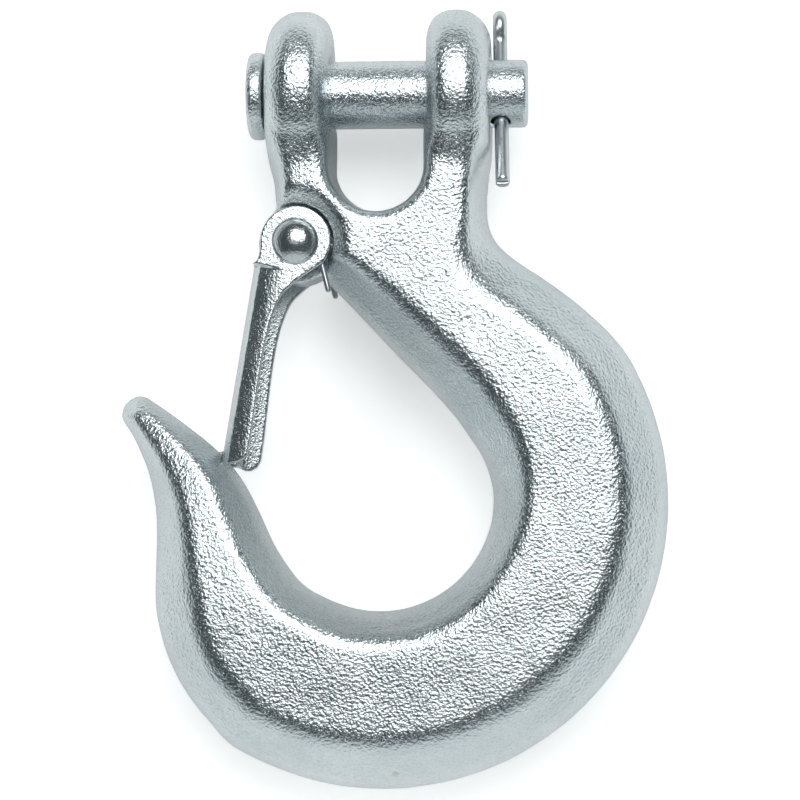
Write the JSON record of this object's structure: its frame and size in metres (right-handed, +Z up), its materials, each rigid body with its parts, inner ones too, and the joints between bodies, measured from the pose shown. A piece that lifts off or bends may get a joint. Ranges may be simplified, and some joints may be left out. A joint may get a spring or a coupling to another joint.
{
  "type": "clevis slip hook with safety latch",
  "caption": "Forged clevis slip hook for a trailer safety chain, with a headed load pin, a split cotter and a spring-loaded sheet-metal latch across its throat.",
  "frame": {"origin": "on the load pin's axis, midway between the two clevis ears", "axes": "+Z up the load line from the bowl to the clevis, +X along the load pin from its head to its cotter, -Y the front face"},
  "size_m": [0.07, 0.0218, 0.1007],
  "materials": {
    "plated_forging": "bright zinc plate over shot-blasted forged steel, fine sparkling grain",
    "plated_pin": "bright zinc plate over a headed steel pin",
    "plated_wire": "bright zinc plate over half-round steel wire",
    "plated_sheet": "bright zinc plate over pressed steel sheet",
    "plated_rivet": "bright zinc plate over a domed steel rivet",
    "spring_wire": "drawn spring steel wire"
  },
  "bodies": {
    "hook": {"hook_body": "plated_forging", "latch_rivet": "plated_rivet", "latch_spring": "spring_wire"},
    "load_pin": {"clevis_pin": "plated_pin"},
    "cotter": {"cotter_pin": "plated_wire"},
    "latch": {"safety_latch": "plated_sheet"}
  },
  "joints": [
    {"name": "latch_hinge", "type": "hinge", "parent": "hook", "child": "latch", "pos_m": [-0.0103, 0, -0.0195], "axis": [0, -1, 0], "range_deg": [0, 50], "stiffness_Nm_per_rad": 0.02, "deforming": ["latch_spring"]},
    {"name": "load_pin_turn", "type": "hinge", "parent": "hook", "child": "load_pin", "pos_m": [0, 0, 0], "axis": [1, 0, 0], "continuous": true},
    {"name": "cotter_pull", "type": "slide", "parent": "load_pin", "child": "cotter", "axis": [-0.0262, 0.3745, 0.9269], "range_m": [0, 0.018]}
  ]
}
